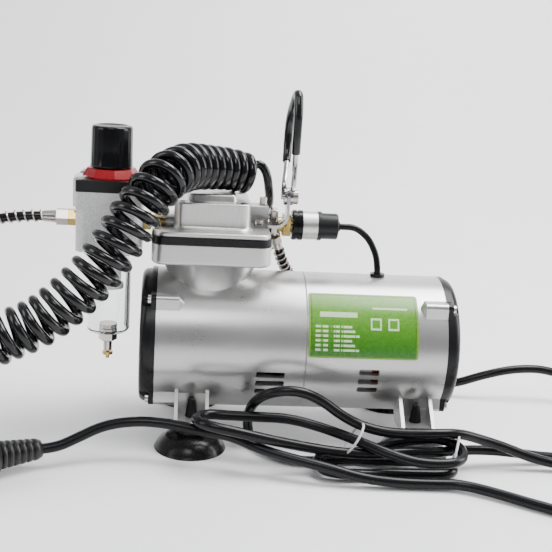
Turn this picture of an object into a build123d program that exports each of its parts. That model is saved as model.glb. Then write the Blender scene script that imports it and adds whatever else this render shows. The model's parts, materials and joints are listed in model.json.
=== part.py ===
"""Airbrush compressor: oil-less piston compressor with filter regulator, pressure switch,
airbrush holder, coil hose and mains lead.

Millimetres.  X runs along the motor shaft from the regulator towards the plain end, Y runs from
the nameplate side to the back, Z is up and z = 0 is the surface that the suction cups stand on.
x = 0 and y = 0 are the middle of the compressor without its hose and lead.
"""

import os
from math import asin, cos, radians, sin, sqrt, tan

from build123d import *

os.makedirs("parts", exist_ok=True)

# ---------------------------------------------------------------- driving dimensions
# motor casing
axis_z = 61.6  # height of the motor shaft
shell_r = 46.0  # outer radius of the casing
shell_wall = 3.5
bore_r = shell_r - shell_wall
left_x = -66.7  # crankcase end of the casing
seam_x = 30.0  # joint between the two castings
right_x = 122.3  # motor end of the casing
lug_half = 37.0  # half width of the square whose corners are the screw lugs
lug_length = 14.5
lug_ramp = 4.5
screw_offset = 33.0  # cover screws from the shaft, across and up
cover_plate = 3.4
left_cover_x = -76.8
right_cover_x = 131.6
cover_r = 44.6
cover_wall = 2.4

# feet and suction cups
foot_width = 22.0
foot_xs = (-42.0, 104.6)
cup_y = 45.2
cup_r = 23.1
pad_z0 = 16.5  # underside of a foot's pad
pad_z1 = 21.3

# cylinder and head
cyl_x = -33.0
flange_half = 38.0
flange_corner = 8.5
flange_z0 = 118.5
flange_z1 = 131.5
gasket_t = 0.6
plate_z1 = 137.0
ledge_half = 37.2
ledge_z1 = 139.8
block_half = 24.6
block_z1 = 156.6
crown_half = 15.8
crown_z1 = 161.0
cylinder_bore_r = 19.0
stroke = 12.0

# outlet, switch and holder
switch_y = 9.0
switch_z = 138.6
strap_y = -6.0
strap_width = 12.0
strap_t = 1.8
strap_x = 16.1  # middle of the strap's upright leg
pivot_z = 160.0
hook_rod_r = 1.8
hook_grip_r = 2.8

# filter regulator
reg_x = -98.0
reg_y = -14.0
reg_width = 41.6
reg_depth = 40.0
reg_z0 = 124.0
reg_z1 = 162.0
bonnet_z1 = 169.4
port_z = 142.2
knob_r = 13.3
knob_z0 = 175.6
knob_z1 = 202.0
bowl_r = 13.9
bowl_z0 = 68.0
bowl_z1 = 123.0
gauge_r = 20.0

# coil hose and mains lead
hose_d = 6.0
coil_r = 16.2  # outer radius of the coiled hose
lead_d = 6.5


# ---------------------------------------------------------------- helpers
def yz(x):
    """Plane across the shaft at x, with local coordinates (y, z)."""
    return Plane.YZ.offset(x)


def smooth_path(points, closing=0.45):
    """Straight runs joined by the largest tangent arcs that both neighbouring runs allow."""
    spots = [Vector(*p) for p in points]
    radii = []
    for before, here, after in zip(spots, spots[1:], spots[2:]):
        turn = (here - before).get_angle(after - here)
        shorter = min((here - before).length, (after - here).length)
        radii.append(closing * shorter / tan(radians(turn) / 2))
    return FilletPolyline(*spots, radius=radii), radii


def tube(points, diameter, title):
    """A round cord or hose along its route."""
    with BuildLine() as route:
        line, radii = smooth_path(points)
    start = Plane(origin=line @ 0, z_dir=line % 0)
    with BuildPart() as piece:
        with BuildSketch(start):
            Circle(diameter / 2)
        sweep(path=route.line)
    ideal = line.length * 3.14159265 * diameter**2 / 4
    print(f"{title}: length {line.length:.0f}, volume ratio {piece.part.volume / ideal:.3f}, "
          f"radii {[round(r) for r in radii]}")
    return piece


# ---------------------------------------------------------------- motor casing
def casting(end_x, inner_x, foot_x, vent_x, vent_length, vent_angles):
    """One half of the casing: tube, corner lugs, two feet, vents on both sides, screw holes."""
    inward = 1 if inner_x > end_x else -1
    with BuildPart() as shell:
        with BuildSketch(yz(end_x)):
            with Locations((0, axis_z)):
                Circle(shell_r)
        extrude(amount=inward * abs(inner_x - end_x))
        chamfer(edges().group_by(Axis.X)[-1 if inward > 0 else 0], 0.45)
        with BuildSketch(yz(end_x)):
            with Locations((0, axis_z)):
                RectangleRounded(2 * lug_half, 2 * lug_half, 3)
        extrude(amount=inward * lug_length)
        with BuildSketch(yz(end_x + inward * lug_length)):
            with Locations((0, axis_z)):
                RectangleRounded(2 * lug_half, 2 * lug_half, 3)
        with BuildSketch(yz(end_x + inward * (lug_length + lug_ramp))):
            with Locations((0, axis_z)):
                RectangleRounded(2 * lug_half - 10, 2 * lug_half - 10, 3)
        loft()
        # feet: pad, two side webs and a back wall, in front and behind
        for side in (-1, 1):
            web = [(57, pad_z0), (57, pad_z1), (39, 37), (30, 35), (26, 25), (33.5, pad_z0)]
            for web_x in (foot_x - foot_width / 2, foot_x + foot_width / 2 - 2.2):
                with BuildSketch(yz(web_x)):
                    Polygon(*[(side * y, z) for y, z in web], align=None)
                extrude(amount=2.2)
            with BuildSketch(Plane.XY.offset(pad_z0)):
                with Locations((foot_x, side * 45.2)):
                    Rectangle(foot_width, 23.6)
            extrude(amount=pad_z1 - pad_z0)
            with BuildSketch(Plane.XY.offset(pad_z0)):
                with Locations((foot_x, side * 35)):
                    Rectangle(foot_width, 3)
            extrude(amount=18)
            with BuildSketch(Plane.XY.offset(pad_z0)):
                with Locations((foot_x, side * cup_y)):
                    Circle(3.3)
            extrude(amount=pad_z1 - pad_z0, mode=Mode.SUBTRACT)
        with BuildSketch(yz(end_x)):
            with Locations((0, axis_z)):
                Circle(bore_r)
        extrude(amount=inward * abs(inner_x - end_x), mode=Mode.SUBTRACT)
        with BuildSketch(yz(end_x)):
            with Locations((0, axis_z)):
                with GridLocations(2 * screw_offset, 2 * screw_offset, 2, 2):
                    Circle(1.5)
        extrude(amount=inward * 13, mode=Mode.SUBTRACT)
        for side in (-1, 1):
            for angle in vent_angles:
                out = (0, side * cos(radians(angle)), sin(radians(angle)))
                centre = (vent_x, out[1] * shell_r, axis_z + out[2] * shell_r)
                with BuildSketch(Plane(origin=centre, x_dir=(1, 0, 0), z_dir=out)):
                    RectangleRounded(vent_length, 4.2, 0.7)
                extrude(amount=6, both=True, mode=Mode.SUBTRACT)
    return shell


crankcase_shell = casting(left_x, seam_x, foot_xs[0], 7.6, 18.6, (-14.3, -22.7, -31.6))
motor_shell = casting(right_x, seam_x, foot_xs[1], 71.7, 13.2, (-9.5, -18.3, -26.8))

bearing_r = 11.0
bulkhead_x = -9.0
rear_bulkhead_x = 105.0
bulkhead_t = 8.0


def bulkhead(x):
    """A bearing wall across the casing, with air holes round the bearing seat."""
    with BuildPart() as wall:
        with BuildSketch(yz(x)):
            with Locations((0, axis_z)):
                Circle(bore_r + 0.5)
                Circle(bearing_r, mode=Mode.SUBTRACT)
                with PolarLocations(28, 6):
                    Circle(7.5, mode=Mode.SUBTRACT)
        extrude(amount=bulkhead_t)
    return wall


left_wall = bulkhead(bulkhead_x)
right_wall = bulkhead(rear_bulkhead_x)

with BuildPart() as neck:
    # bowl-shaped neck that carries the square cylinder flange
    with BuildSketch(Plane.XZ):
        with BuildLine():
            Line((cyl_x, 88), (cyl_x + 25, 88))
            Line((cyl_x + 25, 88), (cyl_x + 25.5, 96))
            ThreePointArc((cyl_x + 25.5, 96), (cyl_x + 28.6, 108.5), (cyl_x + 35, flange_z0))
            Line((cyl_x + 35, flange_z0), (cyl_x, flange_z0))
            Line((cyl_x, flange_z0), (cyl_x, 88))
        make_face()
    revolve(axis=Axis((cyl_x, 0, 0), (0, 0, 1)))
    with BuildSketch(Plane.XY.offset(flange_z0)):
        with Locations((cyl_x, 0)):
            RectangleRounded(2 * flange_half, 2 * flange_half, flange_corner)
    extrude(amount=flange_z1 - flange_z0)
    rim = [e for e in edges() if abs(e.center().Z - flange_z0) < 0.01
           and max(abs(e.center().X - cyl_x), abs(e.center().Y)) > 35.5]
    fillet(rim, 2.2)

with BuildPart() as crankcase_housing:
    add(crankcase_shell.part)
    add(neck.part)
    with BuildSketch(yz(left_x)):
        with Locations((0, axis_z)):
            Circle(bore_r)
    extrude(amount=seam_x - left_x, mode=Mode.SUBTRACT)
    add(left_wall.part)
    with BuildSketch(Plane.XY.offset(80)):
        with Locations((cyl_x, 0)):
            Circle(cylinder_bore_r + 2.02)
    extrude(amount=60, mode=Mode.SUBTRACT)
    # tapped holes for the head screws
    with BuildSketch(Plane.XY.offset(flange_z1)):
        with Locations((cyl_x, 0)):
            with GridLocations(39, 39, 2, 2):
                Circle(2.02)
    extrude(amount=-9, mode=Mode.SUBTRACT)

gland_x = 84.0
gland_angle = -32.0
gland_dir = Vector(0, cos(radians(gland_angle)), sin(radians(gland_angle)))
gland_foot = Vector(gland_x, 0, axis_z) + gland_dir * (shell_r - 4)
grommet_x = 80.4

with BuildPart() as motor_housing:
    add(motor_shell.part)
    add(right_wall.part)
    with BuildSketch(Plane.XY.offset(axis_z + 35)):
        with Locations((grommet_x, 0)):
            Circle(3.6)
    extrude(amount=20, mode=Mode.SUBTRACT)
    with BuildSketch(Plane(origin=gland_foot, x_dir=(1, 0, 0), z_dir=gland_dir)):
        Circle(4.6)
    extrude(amount=14, both=True, mode=Mode.SUBTRACT)


def end_cover(plate_x, outer_x):
    """A domed cover on a plate with the casing's own lugged outline."""
    outward = 1 if outer_x > plate_x else -1
    with BuildPart() as cover:
        with BuildSketch(yz(plate_x)):
            with Locations((0, axis_z)):
                Circle(shell_r)
                RectangleRounded(2 * lug_half, 2 * lug_half, 3)
        extrude(amount=outward * cover_plate)
        with BuildSketch(yz(plate_x)):
            with Locations((0, axis_z)):
                Circle(cover_r)
        extrude(amount=outer_x - plate_x)
        fillet(edges().group_by(Axis.X)[-1 if outward > 0 else 0], 4.6)
        with BuildSketch(yz(plate_x)):
            with Locations((0, axis_z)):
                Circle(cover_r - 3)
        extrude(amount=outer_x - plate_x - outward * cover_wall, mode=Mode.SUBTRACT)
        with BuildSketch(yz(plate_x)):
            with Locations((0, axis_z)):
                with GridLocations(2 * screw_offset, 2 * screw_offset, 2, 2):
                    Circle(1.7)
        extrude(amount=outward * cover_plate, mode=Mode.SUBTRACT)
        # flats in the dome that leave the screw heads free
        with BuildSketch(yz(plate_x + outward * cover_plate)):
            with Locations((0, axis_z)):
                with GridLocations(2 * screw_offset, 2 * screw_offset, 2, 2):
                    Circle(4.2)
        extrude(amount=outer_x - plate_x, mode=Mode.SUBTRACT)
    return cover


left_end_cover = end_cover(left_x, left_cover_x)
right_end_cover = end_cover(right_x, right_cover_x)


def cover_screw_set(plate_x, outward):
    """Four pan-head screws: head on the cover plate, shank into the casing."""
    with BuildPart() as screws:
        head_x = plate_x + outward * cover_plate
        with BuildSketch(yz(head_x)):
            with Locations((0, axis_z)):
                with GridLocations(2 * screw_offset, 2 * screw_offset, 2, 2):
                    Circle(3)
        extrude(amount=outward * 2)
        with BuildSketch(yz(head_x)):
            with Locations((0, axis_z)):
                with GridLocations(2 * screw_offset, 2 * screw_offset, 2, 2):
                    Circle(1.48)
        extrude(amount=-outward * 14)
        with BuildSketch(yz(head_x + outward * 2)):
            with Locations((0, axis_z)):
                with GridLocations(2 * screw_offset, 2 * screw_offset, 2, 2):
                    Rectangle(3.4, 0.8)
                    Rectangle(0.8, 3.4)
        extrude(amount=-outward * 1, mode=Mode.SUBTRACT)
    return screws


left_screws = cover_screw_set(left_x, -1)
right_screws = cover_screw_set(right_x, 1)
with BuildPart() as cover_screws:
    add(left_screws.part)
    add(right_screws.part)

# curved rating plate on the front of the motor half
plate_x0 = 31.0
plate_x1 = 102.6
plate_low = 2.5
plate_high = 57.5
plate_t = 0.5
with BuildPart() as nameplate:
    with BuildSketch(yz(plate_x0)):
        with BuildLine():
            rims = []
            for radius in (shell_r + 0.02, shell_r + plate_t):
                spots = [(-radius * cos(radians(a)), axis_z + radius * sin(radians(a)))
                         for a in (plate_low, (plate_low + plate_high) / 2, plate_high)]
                rims.append(ThreePointArc(*spots))
            Line(rims[0] @ 0, rims[1] @ 0)
            Line(rims[0] @ 1, rims[1] @ 1)
        make_face()
    extrude(amount=plate_x1 - plate_x0)
    corners = edges().filter_by(lambda e: 0.3 < e.length < 0.7)
    fillet(corners, 2.0)

# ---------------------------------------------------------------- suction cups
with BuildPart() as suction_cups:
    for foot_x in foot_xs:
        for side in (-1, 1):
            with BuildSketch(Plane(origin=(foot_x, side * cup_y, 0), x_dir=(1, 0, 0),
                                   z_dir=(0, -1, 0))):
                with BuildLine():
                    Polyline((0, 6), (15, 4.4), (22, 0), (cup_r - 0.2, 0), (cup_r, 0.5),
                             (22.4, 1.6))
                    ThreePointArc((22.4, 1.6), (17.5, 8.2), (9, 11.6))
                    Polyline((9, 11.6), (8.6, pad_z0), (3.1, pad_z0), (3.1, pad_z1),
                             (3.9, pad_z1 + 0.3), (3.3, 26), (2.3, 33), (1.6, 34.2), (0, 34.2),
                             (0, 6))
                make_face()
            revolve(axis=Axis((foot_x, side * cup_y, 0), (0, 0, 1)))

# ---------------------------------------------------------------- motor inside
stator_x0 = 36.0
stator_x1 = 74.0
with BuildPart() as stator_core:
    with BuildSketch(yz(stator_x0)):
        with Locations((0, axis_z)):
            Circle(bore_r - 0.1)
            Circle(22.6, mode=Mode.SUBTRACT)
            with PolarLocations(30, 12):
                Circle(4.2, mode=Mode.SUBTRACT)
    extrude(amount=stator_x1 - stator_x0)

with BuildPart() as stator_windings:
    for ring_x in (stator_x0 - 8, stator_x1):
        with BuildSketch(yz(ring_x)):
            with Locations((0, axis_z)):
                Circle(37)
                Circle(24.5, mode=Mode.SUBTRACT)
        extrude(amount=8)

with BuildPart() as rotor_core:
    with BuildSketch(yz(stator_x0)):
        with Locations((0, axis_z)):
            Circle(22)
            Circle(4.95, mode=Mode.SUBTRACT)
    extrude(amount=stator_x1 - stator_x0)

with BuildPart() as rotor_shaft:
    with BuildSketch(yz(-21)):
        with Locations((0, axis_z)):
            Circle(3.95)
    extrude(amount=135)
    with BuildSketch(yz(6)):
        with Locations((0, axis_z)):
            Circle(4.95)
    extrude(amount=90)

with BuildPart() as shaft_bearings:
    for bearing_x in (bulkhead_x + 0.5, rear_bulkhead_x + 0.5):
        with BuildSketch(yz(bearing_x)):
            with Locations((0, axis_z)):
                Circle(bearing_r - 0.02)
                Circle(4, mode=Mode.SUBTRACT)
        extrude(amount=7)

with BuildPart() as cooling_fan:
    with BuildSketch(yz(96.5)):
        with Locations((0, axis_z)):
            Circle(34)
            Circle(3.96, mode=Mode.SUBTRACT)
    extrude(amount=1.5)
    with BuildSketch(yz(96.5)):
        with Locations((0, axis_z)):
            Circle(9)
            Circle(3.96, mode=Mode.SUBTRACT)
    extrude(amount=7)
    with BuildSketch(yz(98)):
        with Locations((0, axis_z)):
            with PolarLocations(20.5, 9):
                Rectangle(25, 1.6)
    extrude(amount=5.5)

# crank disc: its pin ends just short of the rod's bearing, where the loop of the mechanism is open
throw = stroke / 2
rod_x0 = cyl_x - 3.5
rod_x1 = cyl_x + 3.5
with BuildPart() as crank_disc:
    with BuildSketch(yz(-21.5)):
        with Locations((0, axis_z)):
            Circle(15)
            Circle(3.96, mode=Mode.SUBTRACT)
    extrude(amount=7)
    with BuildSketch(yz(-21.5)):
        with Locations((0, axis_z + throw)):
            Circle(3.5)
    extrude(amount=rod_x1 - (-21.5) + 0.5)

# ---------------------------------------------------------------- cylinder
with BuildPart() as cylinder_sleeve:
    with BuildSketch(Plane.XY.offset(94)):
        with Locations((cyl_x, 0)):
            Circle(cylinder_bore_r + 2)
            Circle(cylinder_bore_r, mode=Mode.SUBTRACT)
    extrude(amount=flange_z1 - 94)

piston_top = flange_z1 - 1.2
with BuildPart() as connecting_rod:
    # big end ring, shank and the piston crown that is one piece with it
    with BuildSketch(yz(rod_x0)):
        with Locations((0, axis_z + throw)):
            Circle(10)
            Circle(3.6, mode=Mode.SUBTRACT)
    extrude(amount=rod_x1 - rod_x0)
    with BuildSketch(yz(rod_x0)):
        with Locations((0, (axis_z + throw + 8 + piston_top - 6) / 2)):
            Rectangle(9, piston_top - 6 - axis_z - throw - 8)
    extrude(amount=rod_x1 - rod_x0)
    with BuildSketch(Plane.XY.offset(piston_top - 6.5)):
        with Locations((cyl_x, 0)):
            Circle(16.5)
    extrude(amount=3)
    with BuildSketch(Plane.XY.offset(piston_top - 3.5)):
        with Locations((cyl_x, 0)):
            Circle(15)
    extrude(amount=1)
    with BuildSketch(Plane.XY.offset(piston_top - 2.5)):
        with Locations((cyl_x, 0)):
            Circle(16.5)
    extrude(amount=2.5)

with BuildPart() as piston_seal:
    with BuildSketch(Plane.XY.offset(piston_top - 3.45)):
        with Locations((cyl_x, 0)):
            Circle(cylinder_bore_r - 0.08)
            Circle(15.02, mode=Mode.SUBTRACT)
    extrude(amount=0.9)

bracket_hole_x = -2.0
with BuildPart() as cylinder_gasket:
    with BuildSketch(Plane.XY.offset(flange_z1)):
        with Locations((cyl_x, 0)):
            RectangleRounded(2 * flange_half, 2 * flange_half, flange_corner)
            Circle(cylinder_bore_r, mode=Mode.SUBTRACT)
            with GridLocations(39, 39, 2, 2):
                Circle(2.1, mode=Mode.SUBTRACT)
    extrude(amount=gasket_t)

with BuildPart() as valve_plate:
    with BuildSketch(Plane.XY.offset(flange_z1 + gasket_t)):
        with Locations((cyl_x, 0)):
            RectangleRounded(2 * flange_half + 0.6, 2 * flange_half + 0.6, flange_corner)
            with GridLocations(39, 39, 2, 2):
                Circle(2.1, mode=Mode.SUBTRACT)
            with Locations((0, -10), (0, 10)):
                Circle(2.5, mode=Mode.SUBTRACT)
        with Locations((bracket_hole_x, strap_y)):
            Circle(1.98, mode=Mode.SUBTRACT)
    extrude(amount=plate_z1 - flange_z1 - gasket_t)
    fillet(edges().group_by(Axis.Z)[-1].filter_by(lambda e: e.length > 10), 0.6)

# ---------------------------------------------------------------- cylinder head
nipple_r = 4.0
boss_x = cyl_x - block_half - 5.4
with BuildPart() as cylinder_head:
    with BuildSketch(Plane.XY.offset(plate_z1)):
        with Locations((cyl_x, 0)):
            RectangleRounded(2 * ledge_half, 2 * ledge_half, flange_corner)
    extrude(amount=ledge_z1 - plate_z1)
    fillet(edges().group_by(Axis.Z)[-1], 1.2)
    with BuildSketch(Plane.XY.offset(plate_z1)):
        with Locations((cyl_x, 0)):
            RectangleRounded(2 * block_half, 2 * block_half, 6.5)
    extrude(amount=block_z1 - plate_z1)
    fillet(edges().group_by(Axis.Z)[-1], 1.0)
    fillet([e for e in edges() if abs(e.center().Z - ledge_z1) < 0.01
            and max(abs(e.center().X - cyl_x), abs(e.center().Y)) < block_half + 0.1], 2.6)
    with BuildSketch(Plane.XY.offset(block_z1)):
        with Locations((cyl_x, 0)):
            RectangleRounded(2 * crown_half, 2 * crown_half, 4)
    extrude(amount=crown_z1 - block_z1, taper=12)
    fillet(edges().group_by(Axis.Z)[-1], 1.4)
    # port boss towards the regulator
    with BuildSketch(yz(boss_x)):
        with Locations((reg_y, port_z)):
            Circle(5.1)
    extrude(amount=8)
    with BuildSketch(Plane.XY.offset(plate_z1)):
        with Locations((cyl_x, 0)):
            with Locations((0, -8.5), (0, 8.5)):
                Rectangle(30, 14)
            with GridLocations(39, 39, 2, 2):
                Circle(2.1)
        with Locations((bracket_hole_x, strap_y)):
            Circle(2.05)
    extrude(amount=15, mode=Mode.SUBTRACT)
    with BuildSketch(Plane.XY.offset(block_z1)):
        with Locations((cyl_x, 0)):
            with GridLocations(39, 39, 2, 2):
                Circle(3.6)
    extrude(amount=-4.2, mode=Mode.SUBTRACT)
    with BuildSketch(Plane.XY.offset(block_z1)):
        with Locations((cyl_x, 0)):
            with GridLocations(39, 39, 2, 2):
                Circle(2.1)
    extrude(amount=-30, mode=Mode.SUBTRACT)
    # the nipple's hole runs out as a groove across the ledge
    groove_x = cyl_x - ledge_half - 1
    with BuildSketch(yz(groove_x)):
        with Locations((reg_y, port_z)):
            Circle(nipple_r + 0.02)
    extrude(amount=boss_x + 8 - groove_x, mode=Mode.SUBTRACT)

with BuildPart() as head_screws:
    with BuildSketch(Plane.XY.offset(block_z1 - 4.2)):
        with Locations((cyl_x, 0)):
            with GridLocations(39, 39, 2, 2):
                Circle(3.4)
    extrude(amount=4)
    with BuildSketch(Plane.XY.offset(block_z1 - 0.2)):
        with Locations((cyl_x, 0)):
            with GridLocations(39, 39, 2, 2):
                RegularPolygon(1.7, 6)
    extrude(amount=-2.4, mode=Mode.SUBTRACT)
    with BuildSketch(Plane.XY.offset(block_z1 - 4.2)):
        with Locations((cyl_x, 0)):
            with GridLocations(39, 39, 2, 2):
                Circle(2)
    extrude(amount=-29)

# ---------------------------------------------------------------- outlet and pressure switch
block_x0 = cyl_x + block_half
block_x1 = 4.6
with BuildPart() as outlet_block:
    with BuildSketch(Plane.XY.offset(ledge_z1)):
        with Locations(((block_x0 + block_x1) / 2, switch_y)):
            Rectangle(block_x1 - block_x0, 14)
    extrude(amount=11.8)
    fillet(edges().group_by(Axis.Z)[-1], 1.0)
    with BuildSketch(Plane.XY.offset(ledge_z1 + 11.8)):
        with Locations((1.2, switch_y)):
            Circle(1.3)
    extrude(amount=-6, mode=Mode.SUBTRACT)
    add(cylinder_head.part, mode=Mode.SUBTRACT)

manifold_x0 = 6.0
manifold_x1 = 11.4
manifold_z0 = 133.6
branch_start = Vector(8.8, switch_y, manifold_z0 + 1.5)
branch_dir = Vector(0.28, 0.50, -0.82).normalized()


def branch(distance):
    """A point on the axis of the manifold's hose branch."""
    return branch_start + branch_dir * distance


with BuildPart() as outlet_manifold:
    with BuildSketch(Plane.XY.offset(manifold_z0)):
        with Locations(((manifold_x0 + manifold_x1) / 2, switch_y)):
            Rectangle(manifold_x1 - manifold_x0, 12)
    extrude(amount=15.4)
    fillet(edges().filter_by(Axis.Z), 1.6)
    fillet(edges().group_by(Axis.Z)[-1], 1.0)
    with BuildSketch(yz(block_x1)):
        with Locations((switch_y, 145)):
            Circle(3.6)
    extrude(amount=3)
    with BuildSketch(Plane(origin=branch(0), z_dir=branch_dir)):
        Circle(2.2)
    extrude(amount=9.5)

with BuildPart() as switch_neck:
    with BuildSketch(yz(manifold_x1)):
        with Locations((switch_y, switch_z)):
            Circle(5)
    extrude(amount=9.4)
    with BuildSketch(yz(manifold_x1 + 3.2)):
        with Locations((switch_y, switch_z)):
            RegularPolygon(8.2, 6)
    extrude(amount=5.6)
    chamfer(edges().filter_by(Plane.YZ).filter_by(GeomType.LINE), 0.5)

switch_x = (20.8, 28.1, 38.2, 40.8, 52.2)  # ends of the switch's sections
with BuildPart() as switch_body:
    with BuildSketch(yz(switch_x[0])):
        with Locations((switch_y, switch_z)):
            Circle(10.2)
    extrude(amount=switch_x[1] - switch_x[0])
    chamfer(edges().group_by(Axis.X)[0], 1.0)
    with BuildSketch(yz(switch_x[0] + 3.2)):
        with Locations((switch_y, switch_z)):
            Circle(10.2)
            Circle(9.5, mode=Mode.SUBTRACT)
    extrude(amount=1.0, mode=Mode.SUBTRACT)

with BuildPart() as switch_band:
    with BuildSketch(yz(switch_x[1])):
        with Locations((switch_y, switch_z)):
            Circle(9.5)
    extrude(amount=switch_x[2] - switch_x[1])

with BuildPart() as switch_cap:
    with BuildSketch(yz(switch_x[2])):
        with Locations((switch_y, switch_z)):
            Circle(9.8)
    extrude(amount=switch_x[3] - switch_x[2])
    with BuildSketch(yz(switch_x[3])):
        with Locations((switch_y, switch_z)):
            Circle(8.8)
    extrude(amount=switch_x[4] - switch_x[3])
    fillet(edges().group_by(Axis.X)[-1], 1.2)
    with BuildSketch(yz(switch_x[4])):
        with Locations((switch_y, switch_z)):
            Circle(3.3)
    extrude(amount=1.6)

cable_route = [(switch_x[4] + 1.6, switch_y, switch_z), (65.0, switch_y, switch_z), (74.2, 6, 131.5),
               (79.2, 2, 121.0), (grommet_x, 0, 111.0), (grommet_x, 0, 99.0)]
switch_cable = tube(cable_route, 4.4, "switch cable")

with BuildPart() as cable_grommet:
    with BuildSketch(Plane.XY.offset(100.5)):
        with Locations((grommet_x, 0)):
            Circle(3.55)
            Circle(2.4, mode=Mode.SUBTRACT)
    extrude(amount=9.2)
    with BuildSketch(Plane.XY.offset(axis_z + shell_r)):
        with Locations((grommet_x, 0)):
            Circle(4.9)
            Circle(2.4, mode=Mode.SUBTRACT)
    extrude(amount=1.8)

# ---------------------------------------------------------------- airbrush holder
with BuildPart() as holder_bracket:
    x0, x1 = -5.7, strap_x + strap_t / 2
    z0, z1 = ledge_z1, 166.0
    with BuildSketch(Plane.XZ.offset(-strap_y - strap_width / 2)):
        outline = [(x0, z0), (x1, z0), (x1, z1), (x1 - strap_t, z1), (x1 - strap_t, z0 + strap_t),
                   (x0, z0 + strap_t)]
        Polygon(*outline, align=None)
        fillet(vertices().sort_by_distance((x1, z0))[0], 8.8)
        fillet(vertices().sort_by_distance((x1 - strap_t, z0 + strap_t))[0], 7.0)
    extrude(amount=strap_width)
    fillet(edges().filter_by(Axis.X).group_by(Axis.Z)[-1], 5.0)
    with BuildSketch(Plane.XY.offset(z0)):
        with Locations((bracket_hole_x, strap_y)):
            Circle(2.05)
    extrude(amount=3, mode=Mode.SUBTRACT)
    with BuildSketch(yz(strap_x)):
        with Locations((strap_y, pivot_z)):
            Circle(2.05)
    extrude(amount=3, both=True, mode=Mode.SUBTRACT)

with BuildPart() as fitting_screws:
    # the strap's screw in the head, and the plug screw on the outlet block
    with BuildSketch(Plane.XY.offset(ledge_z1 + strap_t)):
        with Locations((bracket_hole_x, strap_y)):
            Circle(3.6)
    extrude(amount=2.4)
    with BuildSketch(Plane.XY.offset(ledge_z1 + strap_t)):
        with Locations((bracket_hole_x, strap_y)):
            Circle(1.95)
    extrude(amount=-7)
    with BuildSketch(Plane.XY.offset(ledge_z1 + 11.8)):
        with Locations((1.2, switch_y)):
            RegularPolygon(2.4, 6)
    extrude(amount=5)
    with BuildSketch(Plane.XY.offset(ledge_z1 + 11.8)):
        with Locations((1.2, switch_y)):
            Circle(1.28)
    extrude(amount=-5)

hook_points = [(18.9, -6, 159), (18.9, -8.5, 172), (18.2, -17, 184), (17.8, -20, 196),
               (18.0, -20.5, 217), (17.9, -16, 227.5), (17.4, -8, 226.5), (16.4, 9, 214),
               (15.9, 14, 204), (15.6, 13.5, 188), (14.6, 3, 175), (13.2, -5, 168), (13.1, -6, 159)]
with BuildLine() as hook_route:
    hook_line, hook_radii = smooth_path(hook_points)
with BuildPart() as holder_hook:
    with BuildSketch(Plane(origin=hook_line @ 0, z_dir=hook_line % 0)):
        Circle(hook_rod_r)
    sweep(path=hook_route.line)
    for eye_x in (strap_x - strap_t / 2 - 1.9, strap_x + strap_t / 2 + 0.2):
        with BuildSketch(yz(eye_x)):
            with Locations((strap_y, pivot_z)):
                Circle(5.4)
        extrude(amount=1.7)
    # the rod is flattened beside the strap, and drilled for the screw
    with BuildSketch(yz(strap_x - strap_t / 2 - 0.2)):
        with Locations((strap_y, pivot_z + 3)):
            Rectangle(30, 30)
    extrude(amount=strap_t + 0.4, mode=Mode.SUBTRACT)
    with BuildSketch(yz(19.0)):
        with Locations((strap_y, pivot_z)):
            Rectangle(14, 13)
    extrude(amount=4, mode=Mode.SUBTRACT)
    with BuildSketch(yz(0)):
        with Locations((strap_y, pivot_z)):
            Circle(2.05)
    extrude(amount=40, mode=Mode.SUBTRACT)

# vinyl sleeve: the same bends, from part way up the near leg to part way down the far leg
near_leg = (Vector(*hook_points[2]) + Vector(*hook_points[3])) / 2
far_leg = (Vector(*hook_points[9]) + Vector(*hook_points[10])) / 2
with BuildLine() as grip_route:
    grip_line = FilletPolyline(near_leg, *[Vector(*p) for p in hook_points[3:10]], far_leg,
                               radius=hook_radii[2:9])
with BuildPart() as holder_grip:
    with BuildSketch(Plane(origin=grip_line @ 0, z_dir=grip_line % 0)):
        Circle(hook_grip_r)
        Circle(hook_rod_r + 0.03, mode=Mode.SUBTRACT)
    sweep(path=grip_route.line)

with BuildPart() as thumb_screw:
    with BuildSketch(yz(11.6)):
        with Locations((strap_y, pivot_z)):
            Circle(1.95)
    extrude(amount=8.2)
    with BuildSketch(yz(19.06)):
        with Locations((strap_y, pivot_z)):
            Circle(4.6)
            with PolarLocations(4.9, 10):
                Circle(0.7, mode=Mode.SUBTRACT)
    extrude(amount=3.4)

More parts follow.
